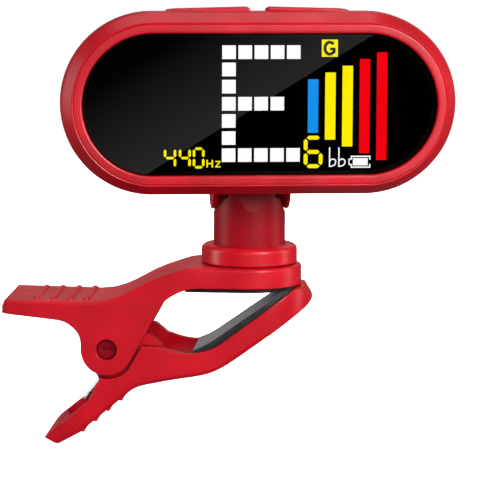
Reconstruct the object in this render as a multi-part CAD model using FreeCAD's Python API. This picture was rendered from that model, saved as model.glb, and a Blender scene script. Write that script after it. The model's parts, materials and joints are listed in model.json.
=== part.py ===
import FreeCAD, Part
import math
import os
from FreeCAD import Vector

# Clip-on instrument tuner: a sprung jaw clip, a swivel neck and a tilting display head.
# Units are millimetres.  +X runs from the thumb handles to the jaw tips, +Z is up and -Y is
# the side the display faces.  The origin lies on the upper jaw pad's face, straight below
# the axis on which the neck swivels.

# ---- driving dimensions: clip -------------------------------------------------------------
clip_width = 16.4          # across both side walls, and the diameter of the platform
clip_wall = 1.5            # thickness of the clip's side walls
clip_skin = 1.6            # thickness of the clip's top and bottom skins
platform_top = 4.0         # height of the platform that the neck turns on
jaw_wall_foot = 0.8        # height of the upper jaw's wall edge above the pad face
handle_reach = 38.0        # from the swivel axis back to the end of the upper handle
pivot_x = -21.6            # hinge axis behind the swivel axis
pivot_z = -9.0             # hinge axis below the pad face
ear_radius = 4.05          # rounded end of the upper arm's hinge ears
ear_gap = 0.5              # groove left round each ear in the lower arm
pin_radius = 1.55          # hinge pin
pin_recess = 0.9           # depth of each pin end below the clip's side
running_gap = 0.05         # radial clearance of every shaft that turns in a bore
side_gap = 0.2             # clearance between the lugs of the lower arm and the ears
lug_thickness = 1.5
spring_wire = 1.0          # diameter of the torsion spring's wire
spring_radius = 2.45       # mean radius of the torsion spring's coil
spring_turns = 4
spring_leg = 10.4          # straight leg at each end of the spring
rib_pitch = 2.6            # spacing of the grip ribs on both handles
rib_radius = 0.45          # ribs on the thumb handle
lower_rib_radius = 0.34
rib_count = 4
upper_rib_inset = 2.0      # rounded rib ends inside the arm's sides
lower_rib_inset = 1.0
rib_sink = 0.1             # rib centre below the skin's surface
pad_back = -9.6            # rear end of the upper jaw pad
screw_slot_half = 0.9      # screwdriver slot in each pin end
screw_slot_width = 0.32
screw_slot_depth = 0.35
lower_jaw_angle = 35.2     # slope of the lower pad's face with the jaws closed

# ---- driving dimensions: swivel neck ----------------------------------------------------------
neck_radius = 5.6
collar_radius = 7.5
collar_foot = 4.15
collar_top = 7.05
collar_round = 0.9
spigot_radius = 3.0
swivel_screw_radius = 1.0
swivel_head_radius = 2.0
swivel_head_height = 1.1
swivel_washer_radius = 4.2
swivel_washer_thickness = 0.5
friction_ring_radius = 6.2
friction_ring_thickness = 0.5
pocket_gap = 0.3           # space round the screw head inside the pad
tilt_height = 17.1         # tilt axis above the pad face
ear_disc_radius = 4.6      # rounded end of the head's ears
ear_inner = 4.1            # half of the space between the head's ears
ear_outer = 6.05           # half of the width over the head's ears
ear_bevel_width = 1.3      # bevel on each ear's inner edge, along the tilt axis
ear_bevel_depth = 2.2      # the same bevel, towards the tilt axis
tongue_half = 3.75
tongue_radius = 4.6
shoulder_gap = 0.27        # clearance between the ears and the neck's shoulders
tilt_pin_radius = 1.1
tilt_washer_radius = 2.25

# ---- driving dimensions: display head --------------------------------------------------------
head_width = 60.0
head_height = 27.7
head_depth = 10.6
head_front = 17.0          # front face ahead of the swivel axis
head_bottom = 16.4         # underside of the head above the pad face
head_yaw = 9.4             # how far the head is turned at rest, degrees
shell_wall = 1.2
belt_setback = 5.0         # front face to the start of the side wall's inward draft
side_draft = 0.6           # how far the side wall leans in before the rear cover
cover_depth = 2.2          # depth of the rear cover
cover_round = 1.9
shoulder_width = 1.7       # sloping shoulder round the front, seen from the front
shoulder_depth = 2.45
rim_width = 1.45           # flat rim round the lens
lens_recess = 0.25
lens_thickness = 1.2
lens_gap = 0.05
tape_thickness = 0.1
ledge_width = 0.6
ledge_thickness = 0.55
layer_gap = 0.05           # between the layers stacked behind the lens
lcd_thickness = 1.1
lcd_overrun = 3.3          # ends of the display past the head's straight part
backlight_thickness = 1.1
holder_wall = 0.6
connector_inset = 5.0      # ends of the connector strip inside the ends of the display
board_thickness = 1.0
board_gap = 1.3            # board edge to the shell
board_setback = 0.35       # holder to the board
chip_size = 7.0
chip_height = 0.9
battery_to_chip = 4.65     # room for the leads
battery_overrun = 1.85     # far end of the battery past the head's straight part
battery_drop = 1.5         # battery's middle below the head's middle
battery_height = 13.0
battery_thickness = 2.4
piezo_radius = 6.0
piezo_thickness = 0.4
lead_radius = 0.35
boss_radius = 2.1
boss_gap = 0.3
boss_angle = 60.0
cover_screw_radius = 0.9
cover_screw_head = 1.7
cover_screw_length = 5.0
socket_width = 8.94        # charging socket shell, across
socket_height = 3.16
socket_depth = 6.6
socket_wall = 0.3
socket_recess = 0.8        # flat sunk into the rounded end round the socket
opening_gap = 0.2
button_gap = 1.3           # half of the space between the two buttons
button_inset = 2.25        # outer end of each button inside the straight top edge
button_depth = 4.4
button_proud = 0.6
button_ramp = 1.6
button_slot_gap = 0.15
flange_thickness = 0.6
flange_lip = 0.5
switch_width = 6.0
switch_height = 2.6
switch_depth = 2.0
plunger_radius = 0.7
plunger_proud = 0.6

# ---- derived sizes ---------------------------------------------------------------------------
side = clip_width / 2
channel = side - clip_wall
lug_outer = channel - side_gap
lug_inner = lug_outer - lug_thickness
pin_bore = pin_radius + running_gap
pivot = Vector(pivot_x, 0, pivot_z)
flank = Vector(0.4817, 0, 0.8763)          # direction of each ear's flank on the jaw side
flank_normal = Vector(flank.z, 0, -flank.x)
inward = Vector(-0.60, 0, 0.80)            # from the lower arm's outside to its inside
pad_half = channel - running_gap

head_radius = head_height / 2
head_straight = head_width / 2 - head_radius
head_z = head_bottom + head_radius
head_top = head_bottom + head_height
front_y = -head_front
back_y = front_y + head_depth
split_y = back_y - cover_depth
groove_radius = head_radius - shoulder_width
lens_radius = groove_radius - rim_width
rear_radius = head_radius - side_draft
inner_radius = rear_radius - shell_wall
lens_y = front_y + lens_recess
tape_y = lens_y + lens_thickness
ledge_y = tape_y + tape_thickness
lcd_y = ledge_y + ledge_thickness + layer_gap
backlight_y = lcd_y + lcd_thickness + layer_gap
holder_end_y = backlight_y + backlight_thickness
board_y = holder_end_y + board_setback
board_back_y = board_y + board_thickness
lcd_half_height = lens_radius - 0.6
lcd_half_width = head_straight + lcd_overrun
battery_start = -head_straight + chip_size / 2 + battery_to_chip
battery_end = head_straight + battery_overrun
boss_ring = inner_radius - boss_radius + 0.15
boss_x = head_straight + boss_ring * math.cos(math.radians(boss_angle))
boss_z = boss_ring * math.sin(math.radians(boss_angle))
button_end = head_straight - button_inset
button_y = front_y + 5.5
button_x = (button_gap + button_end) / 2


# ---- small helpers -----------------------------------------------------------------------------
def side_view(u, v):
    return Vector(u, 0, v)


def plan_view(u, v):
    return Vector(u, v, 0)


def end_view(u, v):
    return Vector(0, u, v)


def outline(view, start, *steps):
    """Closed face in one of the three views, from straight lines, arcs and smooth curves."""
    here = view(*start)
    edges = []
    for step in steps:
        kind, points = step[0], [view(*p) for p in step[1]]
        if kind == "line":
            edges.append(Part.LineSegment(here, points[0]).toShape())
        elif kind == "arc":
            edges.append(Part.Arc(here, points[0], points[1]).toShape())
        elif kind == "curve":
            spline = Part.BSplineCurve()
            spline.interpolate(Points=[here] + points, InitialTangent=view(*step[2]),
                               FinalTangent=view(*step[3]))
            edges.append(spline.toShape())
        here = points[-1]
    if here.distanceToPoint(view(*start)) > 1e-6:
        edges.append(Part.LineSegment(here, view(*start)).toShape())
    return Part.Face(Part.Wire(edges))


def slab_y(face, half):
    """Extrude a side-view face to both sides of the clip's mid-plane."""
    return face.translated(Vector(0, -half, 0)).extrude(Vector(0, 2 * half, 0))


def box(x0, x1, y0, y1, z0, z1):
    return Part.makeBox(x1 - x0, y1 - y0, z1 - z0, Vector(x0, y0, z0))


def rod(radius, start, end):
    start, end = Vector(*start), Vector(*end)
    return Part.makeCylinder(radius, (end - start).Length, start, end - start)


def stadium_wire(straight, radius, y):
    left = Vector(-straight, y, head_z)
    right = Vector(straight, y, head_z)
    up, out = Vector(0, 0, radius), Vector(radius, 0, 0)
    return Part.Wire([
        Part.LineSegment(left + up, right + up).toShape(),
        Part.Arc(right + up, right + out, right - up).toShape(),
        Part.LineSegment(right - up, left - up).toShape(),
        Part.Arc(left - up, left - out, left + up).toShape(),
    ])


def stadium(radius, y0, y1, straight=None):
    """Slab with straight long edges and round ends, standing between two depths."""
    length = head_straight if straight is None else straight
    return Part.Face(stadium_wire(length, radius, y0)).extrude(Vector(0, y1 - y0, 0))


def tangent_point(centre, radius, point, turn):
    """Where a line from point touches a circle, in (u, v); turn is +1 or -1."""
    du, dv = point[0] - centre[0], point[1] - centre[1]
    angle = math.atan2(dv, du) + turn * math.acos(radius / math.hypot(du, dv))
    return (centre[0] + radius * math.cos(angle), centre[1] + radius * math.sin(angle))


def save(name, shape):
    solids = shape.Solids
    if len(solids) == 1:
        shape = solids[0]
    shape.exportStep("parts/" + name + ".step")


def save_in_head(name, shape):
    """Head pieces are drawn square to the frame, then turned with the head."""
    save(name, shape.rotated(Vector(0, 0, 0), Vector(0, 0, 1), head_yaw))


# ---- upper arm ---------------------------------------------------------------------------------
handle_top = -1.3
handle_under = -4.35
tip_x = -handle_reach


def upper_top_edge(drop):
    """Steps that trace the arm's top from the handle's end to the platform."""
    return [
        ("line", [(pivot_x - 2.6, handle_top - 0.2 - drop)]),
        ("curve", [(pivot_x + 2.8, -0.15 - drop), (pivot_x + 6.9, 2.0 - drop),
                   (-side - 2.6, platform_top - 0.55 - drop), (-side + 0.9, platform_top - drop)],
         (1, 0), (1, 0)),
        ("line", [(side, platform_top - drop)]),
    ]


def plan_shape(half, reach):
    """Arm seen from above: a long tongue with a round jaw end and softened handle corners."""
    corner = 0.09 * half
    return outline(plan_view, (0, -half), ("arc", [(half, 0), (0, half)]),
                   ("line", [(-reach + corner, half)]),
                   ("arc", [(-reach + 0.3 * corner, half - 0.3 * corner), (-reach, half - corner)]),
                   ("line", [(-reach, -half + corner)]),
                   ("arc", [(-reach + 0.3 * corner, -half + 0.3 * corner),
                            (-reach + corner, -half)]))


def upper_channel(half):
    """Space inside the upper arm, open below."""
    start = (tip_x + clip_wall, handle_top - clip_skin)
    face = outline(side_view, start, *upper_top_edge(clip_skin),
                   ("line", [(side, 3 * pivot_z)]), ("line", [(tip_x + clip_wall, 3 * pivot_z)]))
    deep = plan_shape(half, handle_reach - clip_wall).translated(Vector(0, 0, 3 * pivot_z))
    return slab_y(face, half).common(deep.extrude(Vector(0, 0, -6 * pivot_z)))


def upper_arm():
    ear_left = (pivot_x - ear_radius, pivot_z)
    ear_low = (pivot_x, pivot_z - ear_radius)
    ear_right = pivot + flank_normal * ear_radius
    flank_end = ear_right + flank * 7.9
    face = outline(
        side_view, (tip_x + 0.5, handle_top), *upper_top_edge(0),
        ("line", [(side, jaw_wall_foot)]),
        ("line", [(-7.4, jaw_wall_foot)]),
        ("curve", [(-10.7, 0.0), (-12.6, -1.3), (flank_end.x, flank_end.z)],
         (-1, 0), (-flank.x, -flank.z)),
        ("line", [(ear_right.x, ear_right.z)]),
        ("arc", [ear_low, ear_left]),
        ("curve", [(pivot_x - ear_radius - 0.5, pivot_z + 2.6), (pivot_x - 6.2, pivot_z + 4.1),
                   (pivot_x - 8.2, handle_under)], (0, 1), (-1, 0.12)),
        ("line", [(tip_x + 1.6, handle_under + 0.7)]),
        ("line", [(tip_x, handle_under + 0.9)]),
        ("line", [(tip_x + 0.25, handle_top - 0.25)]),
    )
    plan = plan_shape(side, handle_reach).translated(Vector(0, 0, 3 * pivot_z))
    body = slab_y(face, side).common(plan.extrude(Vector(0, 0, -6 * pivot_z)))
    body = body.cut(upper_channel(channel))
    body = body.cut(rod(pin_bore, (pivot_x, -side, pivot_z), (pivot_x, side, pivot_z)))
    body = body.cut(rod(spigot_radius + running_gap, (0, 0, 0), (0, 0, platform_top + 1)))
    for number in range(rib_count):
        x = pivot_x - 3.4 - number * rib_pitch
        z = handle_top - rib_sink
        reach = side - upper_rib_inset
        body = body.fuse(rod(rib_radius, (x, -reach, z), (x, reach, z)))
    return body.removeSplitter()


def upper_jaw_pad():
    """Rubber pad in the upper jaw, hollowed behind for the head of the swivel screw."""
    pad = upper_channel(pad_half).common(box(pad_back, side, -side, side, 0, platform_top))
    pocket_top = platform_top - clip_skin
    stack = swivel_washer_thickness + swivel_head_height + running_gap
    pocket_foot = pocket_top - stack - 0.2
    pocket = rod(swivel_washer_radius + pocket_gap, (0, 0, pocket_foot), (0, 0, pocket_top + 1))
    return pad.cut(pocket)


# ---- lower arm ---------------------------------------------------------------------------------
jaw_slope = math.radians(lower_jaw_angle)
jaw_front = side + 1.75                    # foremost point of the lower jaw
lip_top = (side + 0.35, jaw_wall_foot - 0.15)
handle_dir = Vector(-0.765, 0, -0.644)     # along the lower handle, towards its end
handle_turn = Vector(pivot_x + 3.66, 0, pivot_z - 6.48)
handle_knee = handle_turn + handle_dir * 10.4
handle_end = handle_knee + Vector(-3.43, 0, -1.86)


def lower_outer_edge(shift):
    """Steps that trace the outside of the lower arm from the handle's end to the jaw."""
    dx, dz = inward.x * shift, inward.z * shift
    return [
        ("line", [(handle_knee.x + dx, handle_knee.z + dz)]),
        ("line", [(handle_turn.x + dx, handle_turn.z + dz)]),
        ("curve", [(pivot_x + 7.3, pivot_z - 5.2 + dz), (pivot_x + 11.3, pivot_z - 4.42 + dz),
                   (pivot_x + 16.2, pivot_z - 3.4 + dz), (-0.9 + dx, -9.72 + dz)],
         (0.765, 0.644), (0.8, 0.58)),
        ("line", [(side + 0.67 + dx, -2.6 + dz)]),
    ]


def lower_channel(half):
    """Space inside the lower arm, open towards the upper arm."""
    start = handle_end + inward * clip_skin - handle_dir * clip_wall
    open_back = start + inward * 12
    face = outline(side_view, (start.x, start.z), *lower_outer_edge(clip_skin),
                   ("line", [(side, 3)]),
                   ("line", [(pivot_x + 12, 8)]),
                   ("line", [(open_back.x, open_back.z)]))
    return slab_y(face, half).common(jaw_plan(half))


def jaw_plan(half):
    """Tall slab the shape of the lower arm seen from above, with a round jaw end."""
    middle = jaw_front - side
    face = outline(plan_view, (middle, -half), ("arc", [(middle + half, 0), (middle, half)]),
                   ("line", [(-2 * handle_reach, half)]), ("line", [(-2 * handle_reach, -half)]))
    return face.translated(Vector(0, 0, 4 * pivot_z)).extrude(Vector(0, 0, -8 * pivot_z))


def ear_clearance():
    """Space swept round the upper arm's ears, cut out of the lower arm's side walls."""
    radius = ear_radius + ear_gap
    top = pivot + flank_normal * radius + flank * 14
    touch = pivot + flank_normal * radius
    face = outline(side_view, (touch.x, touch.z), ("line", [(top.x, top.z)]),
                   ("line", [(pivot_x - 12, top.z)]), ("line", [(pivot_x - 12, pivot_z)]),
                   ("line", [(pivot_x - radius, pivot_z)]),
                   ("arc", [(pivot_x + radius * math.cos(math.radians(-110)),
                             pivot_z + radius * math.sin(math.radians(-110))), (touch.x, touch.z)]))
    return slab_y(face, side + 1).cut(slab_y(face, channel))


def lower_arm():
    tip = handle_end + Vector(-2.04, 0, 1.09)
    wall_foot = (-4.2, -8.05)
    face = outline(
        side_view, (handle_end.x, handle_end.z), *lower_outer_edge(0),
        ("curve", [(jaw_front, -1.3), lip_top], (0.8, 0.58), (-0.6, 0.8)),
        ("line", [(side - 0.75, lip_top[1])]), ("line", [wall_foot]),
        ("curve", [(-6.3, -8.95), (pivot_x + 12.6, pivot_z - 0.45), (pivot_x + 9.2, pivot_z + 0.25),
                   (pivot_x + 7.6, pivot_z + 0.65)], (-0.8, -0.6), (-1, 0.1)),
        ("line", [(pivot_x + 5.0, pivot_z + 0.8)]),
        ("line", [(pivot_x - 0.9, pivot_z - 3.6)]),
        ("line", [(pivot_x - 1.15, pivot_z - 4.9)]),
        ("curve", [(pivot_x - 2.3, pivot_z - 6.9), (pivot_x - 3.1, pivot_z - 8.4)],
         (-0.8, -0.5), (-0.3, -0.9)),
        ("line", [(tip.x + 0.67, tip.z + 0.76)]),
        ("line", [(tip.x, tip.z)]),
    )
    body = slab_y(face, side).common(jaw_plan(side))
    body = body.cut(lower_channel(channel)).cut(ear_clearance())
    lug_face = outline(
        side_view, (pivot_x + 6.6, pivot_z + 2.3), ("line", [(pivot_x + 8.6, pivot_z + 0.6)]),
        ("line", [(pivot_x + 7.0, pivot_z - 3.7)]), ("line", [(pivot_x + 3.0, pivot_z - 5.3)]),
        ("line", [(pivot_x - 1.2, pivot_z - 5.2)]), ("line", [(pivot_x - 3.7, pivot_z)]),
        ("arc", [(pivot_x - 2.6, pivot_z + 2.6), (pivot_x, pivot_z + 3.7)]))
    for sign in (-1, 1):
        middle = sign * (lug_outer + lug_inner) / 2
        lug = slab_y(lug_face, lug_thickness / 2).translated(Vector(0, middle, 0))
        y0, y1 = sorted((middle, sign * channel))
        web = box(pivot_x + 5.4, pivot_x + 7.2, y0, y1, pivot_z - 4.2, pivot_z - 1.2)
        body = body.fuse([lug, web])
    body = body.cut(rod(pin_radius, (pivot_x, -side, pivot_z), (pivot_x, side, pivot_z)))
    for number in range(rib_count):
        place = handle_turn + handle_dir * (2.0 + number * rib_pitch)
        reach = side - lower_rib_inset
        body = body.fuse(rod(lower_rib_radius, (place.x, -reach, place.z), (place.x, reach, place.z)))
    return body.removeSplitter()


def lower_jaw_pad():
    """Rubber pad in the lower jaw; its tip meets the upper pad when the jaws are closed."""
    touch_x = side - 2.9
    foot_x = -8.4
    slope = math.tan(jaw_slope)
    face = outline(side_view, (touch_x, -0.1), ("line", [(-5.6, -0.1 - slope * (touch_x + 5.6))]),
                   ("curve", [(foot_x, -9.1)], (-0.8, -0.5), (-0.95, -0.3)),
                   ("line", [(foot_x, -14)]), ("line", [(side + 1, -14)]),
                   ("line", [(side + 1, -1.6)]),
                   ("line", [(side - 1.3, -0.1)]))
    return slab_y(face, pad_half).common(lower_channel(channel))


# ---- hinge pin and spring --------------------------------------------------------------------
def hinge_pin():
    reach = side - pin_recess
    pin = rod(pin_radius, (pivot_x, -reach, pivot_z), (pivot_x, reach, pivot_z))
    for end in (-reach, reach):
        pin = pin.cut(box(pivot_x - screw_slot_half, pivot_x + screw_slot_half,
                          end - screw_slot_depth, end + screw_slot_depth,
                          pivot_z - screw_slot_width / 2, pivot_z + screw_slot_width / 2))
    return pin


def torsion_spring():
    """Coil on the pin, with one leg under the upper handle and one on the lower handle's floor."""
    pitch = spring_wire + 0.08
    upper_leg, lower_leg = 165.0, 232.0
    turns = spring_turns + ((upper_leg - lower_leg) % 180) / 360
    helix = Part.Wire(Part.makeHelix(pitch, turns * pitch, spring_radius))
    section = Part.makeCircle(spring_wire / 2, Vector(spring_radius, 0, 0), Vector(0, 1, 0))
    coil = helix.makePipeShell([Part.Wire(section)], True, True)
    coil.rotate(Vector(0, 0, 0), Vector(1, 0, 0), -90)
    coil.rotate(Vector(0, 0, 0), Vector(0, 1, 0), 90 - upper_leg)
    coil.translate(Vector(pivot_x, -turns * pitch / 2, pivot_z))
    for heading, side_turn, y in ((upper_leg, -90, -1), (lower_leg, 90, 1)):
        foot = math.radians(heading + side_turn)
        along = math.radians(heading)
        start = Vector(pivot_x + spring_radius * math.cos(foot), y * turns * pitch / 2,
                       pivot_z + spring_radius * math.sin(foot))
        end = start + Vector(math.cos(along), 0, math.sin(along)) * spring_leg
        coil = coil.fuse(rod(spring_wire / 2, start, end))
    return coil


# ---- swivel neck ---------------------------------------------------------------------------------
def ear_outline(inset, x):
    """Ear seen from its end: round about the tilt axis and running into the rear cover."""
    radius = ear_disc_radius - inset
    low = (back_y - 0.5, tilt_height + 0.9 + inset)
    high = (back_y - 0.5, tilt_height + 7.2 - inset)
    centre = (0, tilt_height)
    low_touch = tangent_point(centre, radius, low, 1)
    high_touch = tangent_point(centre, radius, high, -1)
    face = outline(end_view, low, ("line", [low_touch]),
                   ("arc", [(radius, tilt_height), high_touch]), ("line", [high]))
    return face.translated(Vector(x, 0, 0))


def head_ear():
    """One flat ear, bevelled round its inner edge to clear the neck's shoulders."""
    bevel_x = ear_inner + ear_bevel_width
    plate = ear_outline(0, bevel_x).extrude(Vector(ear_outer - bevel_x, 0, 0))
    bevel = Part.makeLoft([ear_outline(ear_bevel_depth, ear_inner).OuterWire,
                           ear_outline(0, bevel_x).OuterWire], True, True)
    return plate.fuse(bevel)


def neck():
    """Collar, round neck and flat tongue in one moulding, with a spigot through the platform."""
    collar = Part.makeCylinder(collar_radius, collar_top - collar_foot, Vector(0, 0, collar_foot))
    rims = [e for e in collar.Edges if abs(e.BoundBox.ZMin - collar_top) < 1e-6
            and abs(e.BoundBox.ZMax - collar_top) < 1e-6]
    collar = collar.makeFillet(collar_round, rims)
    waist = tilt_height - ear_disc_radius
    left = tangent_point((0, tilt_height), tongue_radius, (-neck_radius, waist), -1)
    crown = (0, tilt_height + tongue_radius)
    blank = outline(end_view, (-neck_radius, collar_top - 1), ("line", [(-neck_radius, waist)]),
                    ("line", [left]), ("arc", [crown, (-left[0], left[1])]),
                    ("line", [(neck_radius, waist)]), ("line", [(neck_radius, collar_top - 1)]))
    blank = blank.translated(Vector(-neck_radius, 0, 0)).extrude(Vector(2 * neck_radius, 0, 0))
    post = Part.makeCylinder(neck_radius, tilt_height, Vector(0, 0, collar_top - 1)).common(blank)
    bevel = math.hypot(ear_bevel_width, ear_bevel_depth)
    run = ear_bevel_depth / ear_bevel_width
    start_r = ear_disc_radius - ear_bevel_depth
    offset = shoulder_gap * bevel / ear_bevel_width
    r_tongue = start_r + offset + (tongue_half - ear_inner) * run
    r_full = ear_disc_radius + shoulder_gap
    x_full = tongue_half + (r_full - r_tongue) / run
    far = 2 * neck_radius
    scoop = Part.Face(Part.makePolygon([
        Vector(tongue_half, 0, 0), Vector(tongue_half, 0, r_tongue), Vector(x_full, 0, r_full),
        Vector(far, 0, r_full), Vector(far, 0, 0), Vector(tongue_half, 0, 0)]))
    scoop = scoop.revolve(Vector(0, 0, 0), Vector(1, 0, 0), 360)
    scoop = scoop.translated(Vector(0, 0, tilt_height))
    above = box(tongue_half, far, -far, far, tilt_height - start_r, 2 * tilt_height)
    for tool in (scoop, above):
        post = post.cut(tool).cut(tool.mirror(Vector(0, 0, 0), Vector(1, 0, 0)))
    spigot_end = platform_top - clip_skin - running_gap
    spigot = rod(spigot_radius, (0, 0, spigot_end), (0, 0, collar_foot + 0.5))
    body = collar.fuse(post).fuse(spigot)
    ring_top = platform_top + friction_ring_thickness
    recess = rod(friction_ring_radius + running_gap, (0, 0, platform_top), (0, 0, ring_top))
    body = body.cut(recess.cut(rod(spigot_radius, (0, 0, platform_top), (0, 0, ring_top))))
    body = body.cut(rod(swivel_screw_radius, (0, 0, 0), (0, 0, collar_top + 1.5)))
    tilt_bore = tilt_pin_radius + running_gap
    body = body.cut(rod(tilt_bore, (-far, 0, tilt_height), (far, 0, tilt_height)))
    return body.removeSplitter().rotated(Vector(0, 0, 0), Vector(0, 0, 1), head_yaw)


def swivel_friction_ring():
    top = platform_top + friction_ring_thickness
    ring = rod(friction_ring_radius, (0, 0, platform_top), (0, 0, top))
    return ring.cut(rod(spigot_radius, (0, 0, platform_top), (0, 0, top)))


def swivel_washer():
    top = platform_top - clip_skin - running_gap
    foot = top - swivel_washer_thickness
    washer = rod(swivel_washer_radius, (0, 0, foot), (0, 0, top))
    return washer.cut(rod(swivel_screw_radius, (0, 0, foot), (0, 0, top)))


def cross_slot(size, depth, z):
    """Cross recess that opens at height z and runs up into a screw head."""
    bar = box(-size, size, -size / 4, size / 4, z, z + depth)
    return bar.fuse(bar.rotated(Vector(0, 0, 0), Vector(0, 0, 1), 90))


def swivel_screw():
    seat = platform_top - clip_skin - running_gap - swivel_washer_thickness
    head = rod(swivel_head_radius, (0, 0, seat - swivel_head_height), (0, 0, seat))
    shank = rod(swivel_screw_radius, (0, 0, seat), (0, 0, collar_top + 1.2))
    return head.cut(cross_slot(1.1, 0.6, seat - swivel_head_height)).fuse(shank)


def tilt_pin():
    reach = ear_outer - 0.4
    return rod(tilt_pin_radius, (-reach, 0, tilt_height), (reach, 0, tilt_height))


def tilt_washers():
    solids = []
    for sign in (-1, 1):
        near, far = sign * tongue_half, sign * (ear_inner - running_gap)
        washer = rod(tilt_washer_radius, (near, 0, tilt_height), (far, 0, tilt_height))
        hole = rod(tilt_pin_radius + running_gap, (near, 0, tilt_height), (far, 0, tilt_height))
        solids.append(washer.cut(hole))
    return Part.makeCompound(solids)


# ---- head shells ------------------------------------------------------------------------------
def boss_places():
    return [(sx * boss_x, head_z + sz * boss_z) for sx in (-1, 1) for sz in (-1, 1)]


def front_housing():
    """Deep front shell: rim, sloping shoulder, lens ledge, screw bosses and the button slots."""
    shoulder_y = front_y + shoulder_depth
    nose = Part.makeLoft([stadium_wire(head_straight, groove_radius, front_y),
                          stadium_wire(head_straight, head_radius, shoulder_y)], True, True)
    belt_y = front_y + belt_setback
    tail = Part.makeLoft([stadium_wire(head_straight, head_radius, belt_y),
                          stadium_wire(head_straight, rear_radius, split_y)], True, True)
    body = nose.fuse([stadium(head_radius, shoulder_y, belt_y), tail])
    gap = button_slot_gap
    half_depth = button_depth / 2
    land = box(-button_gap + gap, button_gap - gap, button_y - half_depth, button_y + half_depth,
               head_top - 0.5, head_top + 0.18)
    body = body.fuse(land)
    body = body.cut(stadium(lens_radius, front_y - 1, ledge_y))
    body = body.cut(stadium(lens_radius - ledge_width, ledge_y - 1, split_y))
    body = body.cut(stadium(inner_radius, ledge_y + ledge_thickness, split_y + 1))
    for x, z in boss_places():
        body = body.fuse(rod(boss_radius, (x, holder_end_y + 0.05, z), (x, split_y, z)))
    for x, z in boss_places():
        hole_start = split_y - cover_screw_length
        body = body.cut(rod(cover_screw_radius, (x, hole_start, z), (x, split_y + 1, z)))
    for sign in (-1, 1):
        x0, x1 = sorted((sign * (button_gap - gap), sign * (button_end + gap)))
        body = body.cut(box(x0, x1, button_y - half_depth - gap, button_y + half_depth + gap,
                            head_z, head_top + 5))
    socket_y = (board_y + board_back_y) / 2
    half_w = socket_width / 2 + opening_gap
    half_h = socket_height / 2 + opening_gap
    face_x = head_width / 2 - socket_recess
    body = body.cut(box(face_x, head_width, socket_y - half_h - 0.6, socket_y + half_h + 0.6,
                        head_z - half_w - 0.3, head_z + half_w + 0.3))
    port = rounded_slot(half_w, half_h, socket_y, head_straight + 4, head_width)
    return body.cut(port).removeSplitter()


def rounded_slot(half_w, half_h, y, x0, x1):
    """Charging-socket outline, round at both ends, run along X."""
    straight = half_w - half_h
    middle = box(x0, x1, y - half_h, y + half_h, head_z - straight, head_z + straight)
    low = rod(half_h, (x0, y, head_z - straight), (x1, y, head_z - straight))
    high = rod(half_h, (x0, y, head_z + straight), (x1, y, head_z + straight))
    return middle.fuse([low, high]).removeSplitter()


def rear_cover():
    """Shallow rear shell with the two ears that carry the tilt pin."""
    body = stadium(rear_radius, split_y, back_y)
    rims = [e for e in body.Edges if abs(e.BoundBox.YMin - back_y) < 1e-6
            and abs(e.BoundBox.YMax - back_y) < 1e-6]
    body = body.makeFillet(cover_round, rims)
    body = body.cut(stadium(inner_radius, split_y - 1, back_y - shell_wall))
    for x, z in boss_places():
        body = body.fuse(rod(boss_radius, (x, split_y, z), (x, back_y - shell_wall / 2, z)))
    ear = head_ear()
    ear = ear.cut(rod(tilt_pin_radius, (0, 0, tilt_height), (ear_outer - 0.4, 0, tilt_height)))
    body = body.fuse(ear).fuse(ear.mirror(Vector(0, 0, 0), Vector(1, 0, 0)))
    for x, z in boss_places():
        body = body.cut(rod(cover_screw_radius + 0.1, (x, split_y - 1, z), (x, back_y + 1, z)))
        body = body.cut(rod(cover_screw_head + 0.1, (x, back_y - 1.2, z), (x, back_y + 1, z)))
    return body.removeSplitter()


def cover_screws():
    solids = []
    for x, z in boss_places():
        seat = back_y - 1.2
        head = rod(cover_screw_head, (x, seat, z), (x, back_y - 0.3, z))
        slot = box(x - 1, x + 1, back_y - 0.8, back_y, z - 0.2, z + 0.2)
        slot = slot.fuse(box(x - 0.2, x + 0.2, back_y - 0.8, back_y, z - 1, z + 1))
        shank = rod(cover_screw_radius, (x, split_y - cover_screw_length + 0.3, z), (x, seat, z))
        solids.append(head.cut(slot).fuse(shank))
    return Part.makeCompound(solids)


# ---- display stack --------------------------------------------------------------------------
def display_lens():
    return stadium(lens_radius - lens_gap, lens_y, tape_y)


def lens_tape():
    outer = stadium(lens_radius - lens_gap, tape_y, ledge_y)
    return outer.cut(stadium(lens_radius - ledge_width, tape_y, ledge_y))


def centred(half_x, half_z, y0, y1):
    return box(-half_x, half_x, y0, y1, head_z - half_z, head_z + half_z)


def lcd_panel():
    return centred(lcd_half_width, lcd_half_height, lcd_y, lcd_y + lcd_thickness)


def lcd_backlight():
    return centred(lcd_half_width, lcd_half_height, backlight_y, holder_end_y)


def display_holder():
    """Thin frame round the display stack, open below for the connector strip."""
    half_x = lcd_half_width + layer_gap
    half_z = lcd_half_height + layer_gap
    frame = centred(half_x + holder_wall, half_z + holder_wall, lcd_y, holder_end_y)
    frame = frame.cut(centred(half_x, half_z, lcd_y, holder_end_y))
    slot_half = lcd_half_width - connector_inset + layer_gap
    return frame.cut(box(-slot_half, slot_half, lcd_y, holder_end_y, head_bottom, head_z - half_z))


def lcd_connector():
    """Rubber connector strip between the glass and the board, below the display."""
    top = head_z - lcd_half_height
    reach = lcd_half_width - connector_inset
    return box(-reach, reach, lcd_y, board_y, top - 0.75, top - 0.1)


def circuit_board():
    board = stadium(inner_radius - board_gap, board_y, board_back_y)
    for x, z in boss_places():
        board = board.cut(rod(boss_radius + boss_gap, (x, board_y, z), (x, board_back_y, z)))
    notch_x = head_width / 2 - socket_recess - socket_depth - opening_gap
    half = socket_width / 2 + opening_gap
    return board.cut(box(notch_x, head_width, board_y, board_back_y, head_z - half, head_z + half))


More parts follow.
